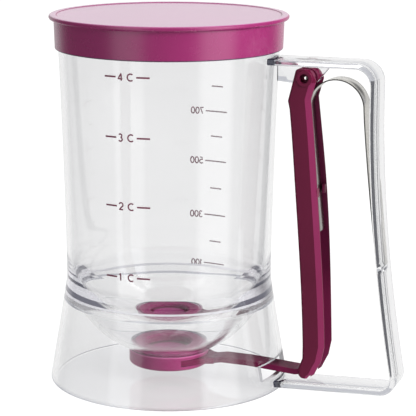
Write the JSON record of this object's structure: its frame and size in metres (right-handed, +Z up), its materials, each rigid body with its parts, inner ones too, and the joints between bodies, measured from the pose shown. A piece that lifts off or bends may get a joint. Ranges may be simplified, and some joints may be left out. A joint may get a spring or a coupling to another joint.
{
  "type": "pancake batter dispenser",
  "caption": "Clear hand-held batter dispenser with a lift-off lid, a funnel bottom with a sliding gate valve and a sprung trigger in front of a strap handle.",
  "frame": {"origin": "centre of the bounding box's footprint, on the plane of the foot", "axes": "+Z up along the cup's axis, +X from the cup to the handle, +Y across the handle and trigger; the part is symmetric about Y = 0"},
  "size_m": [0.1742, 0.116, 0.1778],
  "materials": {
    "clear_body": "clear, polished",
    "lid_plastic": "plum, slightly translucent, smooth",
    "plum_plastic": "plum, smooth",
    "silicone": "plum, matte, slightly translucent",
    "steel": "bright spring steel"
  },
  "bodies": {
    "jug": {"cup": "clear_body", "base_skirt": "clear_body", "handle": "clear_body", "valve_housing": "plum_plastic", "outlet_gasket": "silicone", "pivot_pin": "steel", "leaf_spring": "steel"},
    "trigger": {"trigger": "plum_plastic"},
    "gate": {"valve_gate": "plum_plastic"},
    "lid": {"lid": "lid_plastic"}
  },
  "joints": [
    {"name": "trigger_squeeze", "type": "hinge", "parent": "jug", "child": "trigger", "pos_m": [0.04034, 0, 0.1514], "axis": [0, -1, 0], "range_deg": [0, 10], "stiffness_Nm_per_rad": 1.6, "springref_deg": -5.73, "deforming": ["leaf_spring"]},
    {"name": "gate_slide", "type": "slide", "parent": "jug", "child": "gate", "axis": [1, 0, 0], "range_m": [0, 0.0249]},
    {"name": "lid_lift", "type": "slide", "parent": "jug", "child": "lid", "axis": [0, 0, 1], "range_m": [0, 0.03]}
  ],
  "couplings": [
    {"joint": "gate_slide", "follows": "trigger_squeeze", "m_per_rad": 0.1422}
  ]
}
